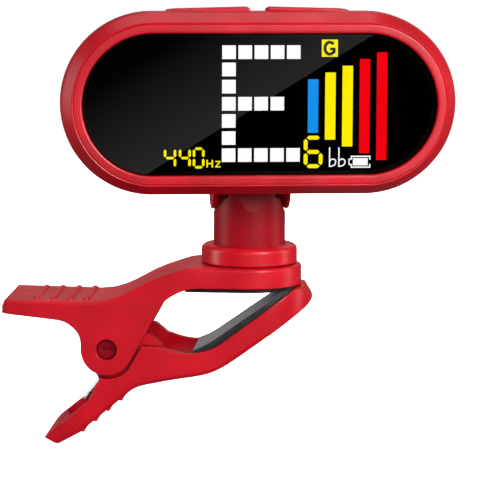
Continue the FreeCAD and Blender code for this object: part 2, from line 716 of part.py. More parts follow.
def tuner_chip():
    x, z = -head_straight, head_z - 2
    half = chip_size / 2
    return box(x - half, x + half, board_back_y, board_back_y + chip_height, z - half, z + half)


def battery_cell():
    foot = board_back_y + 0.2
    middle = head_z - battery_drop
    pouch = box(battery_start, battery_end, foot, foot + battery_thickness,
                middle - battery_height / 2, middle + battery_height / 2)
    longs = [e for e in pouch.Edges if e.BoundBox.ZLength > battery_height - 0.1]
    return pouch.makeFillet(0.8, longs)


def battery_leads():
    solids = []
    y = board_back_y + lead_radius
    length = battery_to_chip - 0.65
    for z in (head_z - 3.0, head_z - 1.6):
        solids.append(rod(lead_radius, (battery_start - length, y, z), (battery_start, y, z)))
    return Part.makeCompound(solids)


def piezo_disc():
    foot = back_y - shell_wall
    x = -head_straight
    return rod(piezo_radius, (x, foot - piezo_thickness, head_z), (x, foot, head_z))


def charging_socket():
    y = (board_y + board_back_y) / 2
    x1 = head_width / 2 - socket_recess - 0.1
    x0 = x1 - socket_depth
    shell = rounded_slot(socket_width / 2, socket_height / 2, y, x0, x1)
    inside = rounded_slot(socket_width / 2 - socket_wall, socket_height / 2 - socket_wall,
                          y, x0 + 0.8, x1)
    tongue = box(x0, x1 - 0.8, y - 0.35, y + 0.35, head_z - 3.3, head_z + 3.3)
    return shell.cut(inside).fuse(tongue)


# ---- buttons and switches -----------------------------------------------------------------------
flange_top = head_z + inner_radius - 0.05
flange_foot = flange_top - flange_thickness
plunger_top = flange_foot - 0.1
switch_top = plunger_top - plunger_proud
switch_y = board_back_y + switch_depth / 2


def button(sign):
    """Long low cap with a ramp at its outer end, a hidden flange and a post over its switch."""
    y0, y1 = button_y - button_depth / 2, button_y + button_depth / 2
    crown = head_top + button_proud
    ramp_start = button_end - button_ramp
    face = outline(side_view, (button_gap, flange_foot), ("line", [(button_gap, crown - 0.3)]),
                   ("line", [(button_gap + 0.3, crown)]), ("line", [(ramp_start, crown)]),
                   ("line", [(button_end, head_top + 0.05)]), ("line", [(button_end, flange_foot)]))
    cap = face.translated(Vector(0, y0, 0)).extrude(Vector(0, y1 - y0, 0))
    rear_bevel = outline(end_view, (y1 - 2.0, crown), ("line", [(y1, crown - 0.35)]),
                         ("line", [(y1 + 1, crown + 1)]), ("line", [(y1 - 2.0, crown + 1)]))
    cap = cap.cut(rear_bevel.extrude(Vector(head_width, 0, 0)))
    flange = box(button_gap - flange_lip, button_end + flange_lip, y0 - flange_lip, y1 + flange_lip,
                 flange_foot, flange_top)
    post = box(button_x - 1.2, button_x + 1.2, y1 - 2.6, switch_y + 0.5, plunger_top, flange_foot)
    cap = cap.fuse(flange).fuse(post).removeSplitter()
    return cap if sign > 0 else cap.mirror(Vector(0, 0, 0), Vector(1, 0, 0))


def switch_body(sign):
    x = sign * button_x
    half = switch_width / 2
    block = box(x - half, x + half, board_back_y, board_back_y + switch_depth,
                switch_top - switch_height, switch_top)
    bore = plunger_radius + running_gap
    return block.cut(rod(bore, (x, switch_y, switch_top - 1.2), (x, switch_y, switch_top)))


def switch_plunger(sign):
    x = sign * button_x
    return rod(plunger_radius, (x, switch_y, switch_top - 0.7), (x, switch_y, plunger_top))


# ---- write one file per piece ------------------------------------------------------------------
os.makedirs("parts", exist_ok=True)

save("upper_arm", upper_arm())
save("upper_jaw_pad", upper_jaw_pad())
save("lower_arm", lower_arm())
save("lower_jaw_pad", lower_jaw_pad())
save("hinge_pin", hinge_pin())
save("torsion_spring", torsion_spring())
save("neck", neck())
save("swivel_friction_ring", swivel_friction_ring())
save("swivel_washer", swivel_washer())
save("swivel_screw", swivel_screw())
save_in_head("tilt_pin", tilt_pin())
save_in_head("tilt_washers", tilt_washers())
save_in_head("front_housing", front_housing())
save_in_head("rear_cover", rear_cover())
save_in_head("cover_screws", cover_screws())
save_in_head("display_lens", display_lens())
save_in_head("lens_tape", lens_tape())
save_in_head("lcd_panel", lcd_panel())
save_in_head("lcd_backlight", lcd_backlight())
save_in_head("display_holder", display_holder())
save_in_head("lcd_connector", lcd_connector())
save_in_head("circuit_board", circuit_board())
save_in_head("tuner_chip", tuner_chip())
save_in_head("battery_cell", battery_cell())
save_in_head("battery_leads", battery_leads())
save_in_head("piezo_disc", piezo_disc())
save_in_head("charging_socket", charging_socket())
for name, sign in (("power", -1), ("mode", 1)):
    save_in_head(name + "_button", button(sign))
    save_in_head(name + "_switch", switch_body(sign))
    save_in_head(name + "_switch_plunger", switch_plunger(sign))
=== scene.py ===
import bmesh
import bpy
import json
import math
from mathutils import Matrix, Vector


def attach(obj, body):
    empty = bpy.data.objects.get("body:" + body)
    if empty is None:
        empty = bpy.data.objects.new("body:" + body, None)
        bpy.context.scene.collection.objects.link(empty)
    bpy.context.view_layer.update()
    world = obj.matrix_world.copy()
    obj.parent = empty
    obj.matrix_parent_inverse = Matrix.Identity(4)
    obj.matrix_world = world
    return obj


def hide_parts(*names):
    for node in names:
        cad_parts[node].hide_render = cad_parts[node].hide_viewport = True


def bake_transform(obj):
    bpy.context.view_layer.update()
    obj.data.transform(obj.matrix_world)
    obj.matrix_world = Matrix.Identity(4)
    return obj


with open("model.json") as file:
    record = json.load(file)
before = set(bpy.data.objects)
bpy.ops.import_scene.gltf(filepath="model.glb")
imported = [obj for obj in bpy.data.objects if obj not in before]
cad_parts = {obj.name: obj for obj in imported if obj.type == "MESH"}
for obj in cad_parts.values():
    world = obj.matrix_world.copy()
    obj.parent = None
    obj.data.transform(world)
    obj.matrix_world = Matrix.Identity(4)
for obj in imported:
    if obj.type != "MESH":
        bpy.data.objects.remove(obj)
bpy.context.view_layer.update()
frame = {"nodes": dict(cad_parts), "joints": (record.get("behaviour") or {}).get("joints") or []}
nodes = frame["nodes"]
joints = {joint["name"]: joint for joint in frame["joints"]}
MM = 0.001

# ---- upper arm -------------------------------------------------------------------------------
# The upper half of the clip: thumb handle, S-shaped back, hinge ears and the round platform
# that carries the neck.  Injection-moulded ABS in satin red, its outer edges softly rounded
# and four finger ribs moulded across the handle.


def linear(code):
    """sRGB hex colour as linear RGBA."""
    parts = [int(code[i:i + 2], 16) / 255 for i in (1, 3, 5)]
    return (*[c / 12.92 if c <= 0.04045 else ((c + 0.055) / 1.055) ** 2.4 for c in parts], 1.0)


def add(mat, kind, settings=None, links=None):
    """One shader node with its settings, and links from other nodes' outputs to its inputs."""
    made = mat.node_tree.nodes.new("ShaderNode" + kind)
    for name, value in (settings or {}).items():
        if isinstance(name, int) or name in made.inputs.keys():
            made.inputs[name].default_value = value
        else:
            setattr(made, name, value)
    for name, source in (links or {}).items():
        mat.node_tree.links.new(source, made.inputs[name])
    return made


def material(name):
    """Empty node material and its Object coordinates."""
    mat = bpy.data.materials.new(name)
    mat.use_nodes = True
    mat.node_tree.nodes.clear()
    return mat, add(mat, "TexCoord").outputs["Object"]


def shown(mat, shader):
    """Joins a shader to the material's output."""
    add(mat, "OutputMaterial", {}, {"Surface": shader.outputs[0]})
    return mat


def ramp(mat, source, *stops):
    """Colour ramp fed by source, from (position, hex colour) stops."""
    made = add(mat, "ValToRGB", {}, {"Fac": source})
    places = made.color_ramp.elements
    while len(places) < len(stops):
        places.new(0.5)
    for place, (position, code) in zip(places, stops):
        place.position = position
        place.color = linear(code)
    return made.outputs["Color"]


def satin_red(name, deep, bright, grain_mm=0.22, roughness=0.36, coat=0.1, shine=0.32):
    """Satin moulded ABS: a spark-eroded grain breaks up the highlight, and the red drifts
    slightly from place to place as pigment does where the melt flowed."""
    mat, place = material(name)
    drift = add(mat, "TexNoise", {"Scale": 1 / (9 * MM), "Detail": 2.0}, {"Vector": place})
    fleck = add(mat, "TexNoise", {"Scale": 1 / (0.35 * MM), "Detail": 1.0}, {"Vector": place})
    blend = add(mat, "Math", {"operation": "MULTIPLY_ADD", 1: 0.12},
                {0: fleck.outputs["Fac"], 2: drift.outputs["Fac"]})
    colour = ramp(mat, blend.outputs[0], (0.38, deep), (0.74, bright))
    grain = add(mat, "TexNoise", {"Scale": 1 / (grain_mm * MM), "Detail": 3.0, "Roughness": 0.6},
                {"Vector": place})
    handling = add(mat, "TexNoise", {"Scale": 1 / (5 * MM), "Detail": 4.0}, {"Vector": place})
    rough = add(mat, "MapRange", {"From Min": 0.3, "From Max": 0.7, "To Min": roughness - 0.05,
                                  "To Max": roughness + 0.07},
                {"Value": handling.outputs["Fac"]})
    bump = add(mat, "Bump", {"Strength": 0.12, "Distance": 0.02 * MM},
               {"Height": grain.outputs["Fac"]})
    shader = add(mat, "BsdfPrincipled",
                 {"IOR": 1.53, "Specular IOR Level": shine, "Coat Weight": coat,
                  "Coat Roughness": 0.22},
                 {"Base Color": colour, "Roughness": rough.outputs[0],
                  "Normal": bump.outputs["Normal"]})
    return shown(mat, shader)


def merged_copy(node):
    """Skin of a CAD node with its loose triangles joined and flat areas made whole."""
    bm = bmesh.new()
    bm.from_mesh(nodes[node].data)
    bmesh.ops.remove_doubles(bm, verts=bm.verts, dist=0.002 * MM)
    bmesh.ops.dissolve_limit(bm, angle_limit=math.radians(0.4), verts=bm.verts, edges=bm.edges)
    return bm


def soften(bm, width, wanted, segments=3):
    """Rounds the sharp outward edges that wanted(edge, middle) picks."""
    picked = []
    for edge in bm.edges:
        if len(edge.link_faces) == 2 and edge.calc_face_angle_signed() > math.radians(32):
            if wanted(edge, (edge.verts[0].co + edge.verts[1].co) / 2 / MM):
                picked.append(edge)
    bmesh.ops.bevel(bm, geom=picked, offset=width * MM, offset_type="OFFSET", affect="EDGES",
                    segments=segments, profile=0.5, material=-1, clamp_overlap=False,
                    miter_outer="ARC", miter_inner="SHARP")
    bmesh.ops.remove_doubles(bm, verts=bm.verts, dist=0.002 * MM)


def true_rounds(piece, rounds):
    """Shades turned walls as true cylinders: (axis point, axis, radius in mm) for each."""
    depsgraph = bpy.context.evaluated_depsgraph_get()
    mesh = bpy.data.meshes.new_from_object(piece.evaluated_get(depsgraph))
    piece.modifiers.clear()
    normals = [Vector(corner.vector) for corner in mesh.corner_normals]
    for face in mesh.polygons:
        for point, axis, radius in rounds:
            for loop in face.loop_indices:
                arm = mesh.vertices[mesh.loops[loop].vertex_index].co / MM - Vector(point)
                arm -= Vector(axis) * arm.dot(Vector(axis))
                level = abs(face.normal.dot(Vector(axis))) < 0.02
                if level and abs(arm.length - radius) < 0.03 and face.normal.dot(arm) > 0:
                    normals[loop] = arm.normalized()
    mesh.normals_split_custom_set(normals)
    piece.data = mesh


def finished(name, bm, mat, body, stands_for=(), crease=38, rounds=()):
    """Turns a bmesh into a smooth-shaded piece that rides on a body, if one is named."""
    mesh = bpy.data.meshes.new(name)
    bm.to_mesh(mesh)
    bm.free()
    mesh.materials.append(mat)
    for face in mesh.polygons:
        face.use_smooth = True
    mesh.set_sharp_from_angle(angle=math.radians(crease))
    piece = bpy.data.objects.new(name, mesh)
    bpy.context.scene.collection.objects.link(piece)
    weighted = piece.modifiers.new("even_normals", "WEIGHTED_NORMAL")
    weighted.keep_sharp = True
    if rounds:
        true_rounds(piece, rounds)
    if body:
        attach(piece, body)
    if stands_for:
        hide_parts(*stands_for)
    return piece


clip_half, handle_end = 8.2, -37.0


def top_edge(edge, at):
    """Outer long edge between the arm's back and its sides, and the platform's rim."""
    upward = any(f.normal.z > 0.25 for f in edge.link_faces)
    outward = any(abs(f.normal.z) < 0.2 for f in edge.link_faces)
    return upward and outward and at.z > -2.4


def outer_rim(at, middle):
    """On the outside of a clip half, whose jaw end is round about x = middle."""
    if at.x > middle and math.hypot(at.x - middle, at.y) > 7.6:
        return True
    return abs(at.y) > 7.5 or at.x < handle_end


clip_red = satin_red("satin_moulded_red_ABS", "#ae0316", "#c6051c")
arm = merged_copy("upper_arm")
soften(arm, 0.55, top_edge, 4)
soften(arm, 0.2, lambda e, at: outer_rim(at, 0) and not top_edge(e, at) and at.z < 1.5, 2)
finished("upper_arm_skin", arm, clip_red, "upper_clip", ["upper_arm"],
         rounds=[((0, 0, 0), (0, 0, 1), clip_half)])

rib_pitch, rib_count = 2.6, 4
upper_rib_radius, upper_rib_reach = 0.55, 6.8
hinge = Vector(joints["jaw_hinge"]["pos_m"]) / MM


def rib(bm, place, reach, radius):
    """Grip rib with round ends: a ball drawn out sideways."""
    made = bmesh.ops.create_uvsphere(bm, u_segments=20, v_segments=12, radius=radius * MM,
                                     matrix=Matrix.Rotation(math.pi / 2, 4, "X"))
    for vert in made["verts"]:
        vert.co.y += math.copysign((reach - radius) * MM, vert.co.y) if abs(vert.co.y) > 1e-7 else 0
    bmesh.ops.translate(bm, verts=made["verts"], vec=place * MM)


ribs = bmesh.new()
for number in range(rib_count):
    rib(ribs, Vector((hinge.x - 3.4 - number * rib_pitch, 0, -1.5)), upper_rib_reach,
        upper_rib_radius)
finished("upper_grip_ribs", ribs, clip_red, "upper_clip")

# ---- lower arm -------------------------------------------------------------------------------
# The lower half of the clip: pinch handle, hinge lugs and the long jaw that sweeps up to the
# tip.  Moulded in the same satin red, with its own four ribs under the handle.


def outside_edge(edge, at):
    """Long edge between the arm's outer skin and its sides."""
    sides = [f for f in edge.link_faces if abs(f.normal.y) > 0.9 and abs(at.y) > 8.0]
    skins = [f for f in edge.link_faces if abs(f.normal.y) < 0.5]
    if not (sides and skins):
        return False
    normal = skins[0].normal
    return normal.z < -0.2 and normal.x > -0.1


jaw_tip_middle = 1.75
lower = merged_copy("lower_arm")
soften(lower, 0.7, outside_edge, 4)
soften(lower, 0.2, lambda e, at: not outside_edge(e, at) and outer_rim(at, jaw_tip_middle), 2)
finished("lower_arm_skin", lower, clip_red, "lower_clip", ["lower_arm"])

lower_rib_radius, lower_rib_reach = 0.38, 7.4
handle_start = hinge + Vector((3.66, 0, -6.48))
down_handle = Vector((-0.765, 0, -0.644))
ribs = bmesh.new()
for number in range(rib_count):
    rib(ribs, handle_start + down_handle * (2.0 + number * rib_pitch), lower_rib_reach,
        lower_rib_radius)
finished("lower_grip_ribs", ribs, clip_red, "lower_clip")

# ---- jaw pads --------------------------------------------------------------------------------
# Soft rubber linings pressed into both jaws.  Compression-moulded black silicone rubber with
# a matt face, a little shine along its rounded edges and dust in the grain.


def rubber(name):
    """Matt black silicone: grey where it catches light, with fine pitting and faint smears."""
    mat, place = material(name)
    dust = add(mat, "TexNoise", {"Scale": 1 / (1.6 * MM), "Detail": 5.0}, {"Vector": place})
    colour = ramp(mat, dust.outputs["Fac"], (0.35, "#1b1e21"), (0.7, "#2c3135"))
    pits = add(mat, "TexNoise", {"Scale": 1 / (0.18 * MM), "Detail": 2.0}, {"Vector": place})
    rough = add(mat, "MapRange", {"To Min": 0.42, "To Max": 0.66}, {"Value": dust.outputs["Fac"]})
    bump = add(mat, "Bump", {"Strength": 0.25, "Distance": 0.02 * MM},
               {"Height": pits.outputs["Fac"]})
    shader = add(mat, "BsdfPrincipled", {"IOR": 1.43, "Sheen Weight": 0.15},
                 {"Base Color": colour, "Roughness": rough.outputs[0],
                  "Normal": bump.outputs["Normal"]})
    return shown(mat, shader)


pad_rubber = rubber("matt_black_silicone_rubber")
for node, body in (("upper_jaw_pad", "upper_clip"), ("lower_jaw_pad", "lower_clip")):
    pad = merged_copy(node)
    soften(pad, 0.3, lambda e, at: True, 3)
    finished(node + "_rubber", pad, pad_rubber, body, [node])

# ---- hinge pin and spring --------------------------------------------------------------------
# The pin is a red-painted steel pin with a screwdriver slot, pressed through both arms.  The
# spring is wound from hard-drawn music wire and sits on the pin inside the clip.
# the pin's red is darker than the clip's: its own red with painted shade for the deep bore its ends
# sit in
pin_red_painted_shade = satin_red("dark_red_pin_painted_recess_shade", "#6a0410", "#860617", roughness=0.5, coat=0.0,
                    shine=0.12)
pin = merged_copy("hinge_pin")
soften(pin, 0.2, lambda e, at: abs(at.y) > 7.25, 2)
finished("hinge_pin_slotted", pin, pin_red_painted_shade, "lower_clip", ["hinge_pin"])


def metal(name, dark, light, roughness, streak_mm=0.3, stretch=(1, 12, 12)):
    """Bright metal with fine drawing lines and uneven polish."""
    mat, place = material(name)
    turned = add(mat, "Mapping", {"Scale": stretch}, {"Vector": place})
    lines = add(mat, "TexNoise", {"Scale": 1 / (streak_mm * 12 * MM), "Detail": 4.0},
                {"Vector": turned.outputs["Vector"]})
    colour = ramp(mat, lines.outputs["Fac"], (0.3, dark), (0.7, light))
    rough = add(mat, "MapRange", {"To Min": roughness - 0.08, "To Max": roughness + 0.1},
                {"Value": lines.outputs["Fac"]})
    bump = add(mat, "Bump", {"Strength": 0.1, "Distance": 0.01 * MM},
               {"Height": lines.outputs["Fac"]})
    shader = add(mat, "BsdfPrincipled", {"Metallic": 1.0},
                 {"Base Color": colour, "Roughness": rough.outputs[0],
                  "Normal": bump.outputs["Normal"]})
    return shown(mat, shader)


def repaint(node, mat):
    """Gives a CAD node that stays its finished material."""
    slots = nodes[node].data.materials
    for index in range(len(slots)):
        slots[index] = mat
    if not slots:
        slots.append(mat)


wound = finished("wound_spring", merged_copy("torsion_spring"),
                 metal("drawn_spring_steel", "#8f9296", "#c3c6c9", 0.28), None,
                 ["torsion_spring"])
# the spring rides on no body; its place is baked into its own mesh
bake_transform(wound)

# ---- swivel neck -----------------------------------------------------------------------------
# A moulded post with a wide collar that turns on the clip's platform, held from below by a
# screw and washer.  Its flat tongue goes between the head's ears.
post_radius, collar_radius, collar_top = 5.6, 7.5, 7.05
post = merged_copy("neck")
soften(post, 0.22, lambda e, at: True, 2)
neck = finished("neck_moulding", post, clip_red, "neck", ["neck"],
                rounds=[((0, 0, 0), (0, 0, 1), post_radius),
                        ((0, 0, 0), (0, 0, 1), collar_radius)])
# the post above the collar takes a darker copy of the same red: painted shade where the head
# overhangs it
neck.data.materials.append(satin_red("post_red_painted_shade", "#860110", "#9c0214", roughness=0.42,
                                     coat=0.0, shine=0.2))
for face in neck.data.polygons:
    from_axis = math.hypot(face.center.x, face.center.y)
    if from_axis < (post_radius + 0.1) * MM and face.center.z > (collar_top + 0.35) * MM:
        face.material_index = 1

zinc = metal("zinc_plated_steel", "#9a9c9d", "#cfd0cf", 0.3, stretch=(4, 4, 4))
for node in ("swivel_washer", "swivel_screw", "tilt_pin"):
    repaint(node, zinc)


def plain_moulding(name, dark, light, roughness, grain_mm=0.3, strength=0.15, gloss=0.5):
    """Unpainted moulding: low-contrast mottling, a fine grain and uneven gloss."""
    mat, place = material(name)
    mottle = add(mat, "TexNoise", {"Scale": 1 / (2.5 * MM), "Detail": 4.0}, {"Vector": place})
    colour = ramp(mat, mottle.outputs["Fac"], (0.35, dark), (0.7, light))
    grain = add(mat, "TexNoise", {"Scale": 1 / (grain_mm * MM), "Detail": 2.0},
                {"Vector": place})
    rough = add(mat, "MapRange", {"To Min": roughness - 0.06, "To Max": roughness + 0.08},
                {"Value": mottle.outputs["Fac"]})
    bump = add(mat, "Bump", {"Strength": strength, "Distance": 0.02 * MM},
               {"Height": grain.outputs["Fac"]})
    shader = add(mat, "BsdfPrincipled", {"IOR": 1.5, "Specular IOR Level": gloss},
                 {"Base Color": colour, "Roughness": rough.outputs[0],
                  "Normal": bump.outputs["Normal"]})
    return shown(mat, shader)


nylon = plain_moulding("natural_nylon", "#d6d2c4", "#e6e3d8", 0.5)
for node in ("swivel_friction_ring", "tilt_washers"):
    repaint(node, nylon)

# ---- front housing ---------------------------------------------------------------------------
# The deep front shell of the head, moulded in satin red ABS: a flat rim round the lens, a
# fine groove, a sloping shoulder and a side wall that leans in towards the rear cover.
tilt_axis = Vector(joints["head_tilt"]["axis"])
head_turn = math.atan2(-tilt_axis.y, -tilt_axis.x)
head_half, head_radius, head_z = 30.0, 13.85, 30.25
straight = head_half - head_radius
head_top = head_z + head_radius
round_steps = 96


def oblong(points, closed=True):
    """Turns a profile of (radius, depth) points once round the head's middle."""
    bm = bmesh.new()
    verts = [bm.verts.new((0, depth * MM, radius * MM)) for radius, depth in points]
    for first, second in zip(verts, verts[1:]):
        bm.edges.new((first, second))
    if closed:
        bm.edges.new((verts[-1], verts[0]))
    half_step = Matrix.Rotation(math.pi / round_steps, 4, "Y")
    bmesh.ops.transform(bm, matrix=half_step, verts=bm.verts)
    bmesh.ops.spin(bm, geom=bm.verts[:] + bm.edges[:], cent=(0, 0, 0), axis=(0, 1, 0),
                   angle=2 * math.pi, steps=round_steps, use_merge=True, use_duplicate=False)
    bmesh.ops.remove_doubles(bm, verts=bm.verts, dist=0.001 * MM)
    return bm


def draw_out(bm):
    """Pulls the halves of a turned ring apart into a long stadium, at the head's height."""
    for vert in bm.verts:
        if abs(vert.co.x) > 0.0005 * MM:
            vert.co.x += math.copysign(straight * MM, vert.co.x)
    bmesh.ops.translate(bm, verts=bm.verts, vec=(0, 0, head_z * MM))
    bmesh.ops.recalc_face_normals(bm, faces=bm.faces)


def turn_head(bm):
    """Turns a piece made square to the axes to the head's own heading."""
    bmesh.ops.rotate(bm, verts=bm.verts, cent=(0, 0, 0),
                     matrix=Matrix.Rotation(head_turn, 3, "Z"))


rim_y, tape_y, ledge_y, parting_y = -17.0, -15.45, -14.9, -8.6
lens_hole, ledge_hole, wall_inside = 10.7, 10.1, 12.05
# the rim's inner corner and flat, the fine groove, the shoulder and the leaning side
front = oblong([
    (lens_hole, tape_y), (lens_hole, -16.72), (10.76, -16.86), (10.90, -16.96), (11.08, rim_y),
    (11.90, rim_y), (11.98, -16.97), (12.03, -16.86), (12.10, -16.80), (12.17, -16.83),
    (12.24, -16.86), (12.36, -16.80), (13.50, -14.98), (13.66, -14.72), (13.78, -14.45),
    (13.84, -14.15), (head_radius, -13.8), (head_radius, -12.0), (13.25, parting_y),
    (wall_inside, parting_y), (wall_inside, ledge_y), (ledge_hole, ledge_y),
    (ledge_hole, tape_y)])
draw_out(front)


def cut_box(target, low, high, rounding=0.0):
    """Cuts a box-shaped opening out of a piece's mesh."""
    tool = bmesh.new()
    size = [(b - a) * MM for a, b in zip(low, high)]
    middle = [(a + b) / 2 * MM for a, b in zip(low, high)]
    bmesh.ops.create_cube(tool, size=1.0, matrix=Matrix.Translation(middle) @
                          Matrix.Diagonal((*size, 1)))
    if rounding:
        ends = [e for e in tool.edges if abs(e.verts[0].co.x - e.verts[1].co.x) > size[0] / 2]
        bmesh.ops.bevel(tool, geom=ends, offset=rounding * MM, affect="EDGES", segments=8,
                        profile=0.5, material=-1)
    return carve(target, tool)


def carve(target, tool):
    """Takes one closed bmesh out of another."""
    made = []
    for bm in (target, tool):
        mesh = bpy.data.meshes.new("carving")
        bm.to_mesh(mesh)
        bm.free()
        made.append(bpy.data.objects.new("carving", mesh))
        bpy.context.scene.collection.objects.link(made[-1])
    cutter = made[0].modifiers.new("cut", "BOOLEAN")
    cutter.operation = "DIFFERENCE"
    cutter.solver = "EXACT"
    cutter.object = made[1]
    depsgraph = bpy.context.evaluated_depsgraph_get()
    result = bmesh.new()
    result.from_mesh(made[0].evaluated_get(depsgraph).to_mesh())
    for piece in made:
        bpy.data.objects.remove(piece)
    return result


# a slot for each button's cap
button_gap, button_end, button_front, button_back = 1.3, 13.9, -13.7, -9.3
slot_gap = 0.15
for sign in (-1, 1):
    x0, x1 = sorted((sign * (button_gap - slot_gap), sign * (button_end + slot_gap)))
    front = cut_box(front, (x0, button_front - slot_gap, head_z),
                    (x1, button_back + slot_gap, head_top + 1.9))
# the charging port: a square recess in the end, then the plug's rounded opening
port_y = -11.75
for x, half_y, half_z, rounding in ((29.2, 2.38, 4.97, 0), (20.15, 1.78, 4.67, 1.77)):
    front = cut_box(front, (x, port_y - half_y, head_z - half_z),
                    (head_half + 1, port_y + half_y, head_z + half_z), rounding)
turn_head(front)
head_red = satin_red("satin_red_head_shell", "#a60315", "#be051b", grain_mm=0.2, roughness=0.34,
                     coat=0.0, shine=0.45)
finished("front_shell", front, head_red, "head", ["front_housing"], crease=24)

# ---- rear cover ------------------------------------------------------------------------------
# The shallow back shell, screwed to the front from behind, with two bevelled ears that hold
# the tilt pin.  Same moulding and finish as the front.
cover = merged_copy("rear_cover")
soften(cover, 0.16, lambda e, at: at.y > -6.9, 2)
finished("rear_shell", cover, head_red, "head", ["rear_cover"])
repaint("cover_screws", metal("black_oxide_screw_steel", "#3a3c3f", "#55585b", 0.4, 0.1,
                              (4, 4, 4)))

# ---- buttons and switches --------------------------------------------------------------------
# Two long low caps on the head's top edge, power on one side and mode on the other, each over
# a small tactile switch on the board.
for side in ("power", "mode"):
    cap = merged_copy(side + "_button")
    for vert in cap.verts:
        # the cap's crown thins by half towards its outer end
        from_middle = abs(vert.co.x * math.cos(head_turn) + vert.co.y * math.sin(head_turn)) / MM
        proud = vert.co.z / MM - head_top
        if proud > 0.06:
            vert.co.z -= proud * MM * 0.5 * (from_middle - button_gap) / (button_end - button_gap)
    soften(cap, 0.2, lambda e, at: at.z > 43.5, 3)
    finished(side + "_cap", cap, head_red, side + "_button", [side + "_button"])

# ---- lens ------------------------------------------------------------------------------------
# A smoked acrylic plate, polished, let into the rim with a hair of clearance and stuck down
# with a thin foam tape.
lens_radius, lens_front, lens_back, chamfer = 10.65, -16.75, -15.55, 0.13
lens = oblong([(0, lens_front), (lens_radius - chamfer, lens_front),
               (lens_radius, lens_front + chamfer), (lens_radius, lens_back), (0, lens_back)],
              closed=False)
draw_out(lens)
turn_head(lens)


def smoked_acrylic(name, polished):
    """Smoked acrylic, clear but dark.  Its polished face adds a sharp gloss that grows towards
    the edge of sight, a little uneven from wiping; the bonded back has no gloss of its own."""
    mat, place = material(name)
    smoke = add(mat, "BsdfTransparent", {"Color": linear("#a9a9a9")})
    if not polished:
        return shown(mat, smoke)
    swirl = add(mat, "TexNoise", {"Scale": 1 / (6 * MM), "Detail": 3.0}, {"Vector": place})
    rough = add(mat, "MapRange", {"To Min": 0.004, "To Max": 0.016},
                {"Value": swirl.outputs["Fac"]})
    gloss = add(mat, "BsdfGlossy", {"Color": (1, 1, 1, 1)}, {"Roughness": rough.outputs[0]})
    edge_on = add(mat, "Fresnel", {"IOR": 1.49})
    pane = add(mat, "MixShader", {}, {0: edge_on.outputs[0], 1: smoke.outputs[0],
                                      2: gloss.outputs[0]})
    return shown(mat, pane)


lens_piece = finished("smoked_lens", lens, smoked_acrylic("polished_smoked_acrylic", True),
                      "head", ["display_lens"])
lens_piece.data.materials.append(smoked_acrylic("bonded_smoked_acrylic", False))
view_side = Vector((math.sin(head_turn), -math.cos(head_turn), 0))
for face in lens_piece.data.polygons:
    face.material_index = 0 if face.normal.dot(view_side) > 0.3 else 1
repaint("lens_tape", plain_moulding("black_foam_tape", "#0c0c0d", "#17181a", 0.85))

# ---- display ---------------------------------------------------------------------------------
# A negative colour LCD: a black glass panel whose read-outs glow where the backlight comes
# through its printed colour filter.  It shows a note letter, a level meter and small symbols.
panel_y = -14.85
window_half_x, window_half_z = 19.5, 9.95
black_glass = plain_moulding("black_display_glass", "#010102", "#030304", 0.22, strength=0.01,
                             gloss=0.03)
repaint("lcd_panel", black_glass)

mask_radius, mask_front, mask_back = 10.62, -15.5, -15.46
mask = oblong([(0, mask_front), (mask_radius, mask_front), (mask_radius, mask_back),
               (0, mask_back)], closed=False)
draw_out(mask)
mask = cut_box(mask, (-window_half_x, mask_front - 0.5, head_z - window_half_z),
               (window_half_x, mask_back + 0.46, head_z + window_half_z))
turn_head(mask)
dark_print = plain_moulding("black_printed_mask", "#010101", "#030303", 0.5, strength=0.01,
                            gloss=0.03)
finished("lens_printed_border", mask, dark_print, "head")


def glowing(name, code, strength=1.0):
    """Backlit colour filter: even light with a faint mottling from the diffuser behind it."""
    mat, place = material(name)
    diffuser = add(mat, "TexNoise", {"Scale": 1 / (1.2 * MM), "Detail": 2.0}, {"Vector": place})
    glow = add(mat, "MapRange", {"To Min": strength * 0.94, "To Max": strength * 1.06},
               {"Value": diffuser.outputs["Fac"]})
    shader = add(mat, "BsdfPrincipled",
                 {"Base Color": linear("#101010"), "Roughness": 0.4,
                  "Emission Color": linear(code)},
                 {"Emission Strength": glow.outputs[0]})
    return shown(mat, shader)


def block(bm, x0, z0, x1, z1):
    """Thin raised segment between two corners, measured from the head's middle."""
    flat(bm, [(x0, z0), (x1, z0), (x1, z1), (x0, z1)])


def flat(bm, corners, depth=0.02):
    """Thin plate with the given outline lying on the front of the panel."""
    verts = [bm.verts.new((x * MM, (panel_y - 0.01) * MM, (z + head_z) * MM)) for x, z in corners]
    face = bm.faces.new(verts)
    made = bmesh.ops.extrude_face_region(bm, geom=[face])
    moved = [g for g in made["geom"] if isinstance(g, bmesh.types.BMVert)]
    bmesh.ops.translate(bm, verts=moved, vec=(0, -depth * MM, 0))


def stroke(bm, start, end, width):
    """Straight stroke between two points."""
    along = Vector(end) - Vector(start)
    out = Vector((-along.y, along.x)).normalized() * width / 2
    a, b = Vector(start), Vector(end)
    flat(bm, [a - out, b - out, b + out, a + out])


# which bars of a seven-bar figure are lit: top, upper left, upper right, middle, lower left,
# lower right, bottom
FIGURES = {"6": "1101111", "4": "0111010", "0": "1110111"}


def figure(bm, digit, x0, x1, z0, z1, width):
    """Seven-bar figure inside the box x0..x1, z0..z1, its bars pointed at the ends."""
    middle = (z0 + z1) / 2
    half = width / 2
    gap = width * 0.28
    left, right, top, foot = x0 + half, x1 - half, z1 - half, z0 + half
    bars = [((left, top), (right, top)), ((left, middle), (left, top)),
            ((right, middle), (right, top)), ((left, middle), (right, middle)),
            ((left, foot), (left, middle)), ((right, foot), (right, middle)),
            ((left, foot), (right, foot))]
    for lit, (start, end) in zip(FIGURES[digit], bars):
        if lit == "0":
            continue
        start, end = Vector(start), Vector(end)
        along = (end - start).normalized()
        out = Vector((-along.y, along.x)) * half
        a, b = start + along * gap, end - along * gap
        flat(bm, [a, a + along * half - out, b - along * half - out, b,
                  b - along * half + out, a + along * half + out])


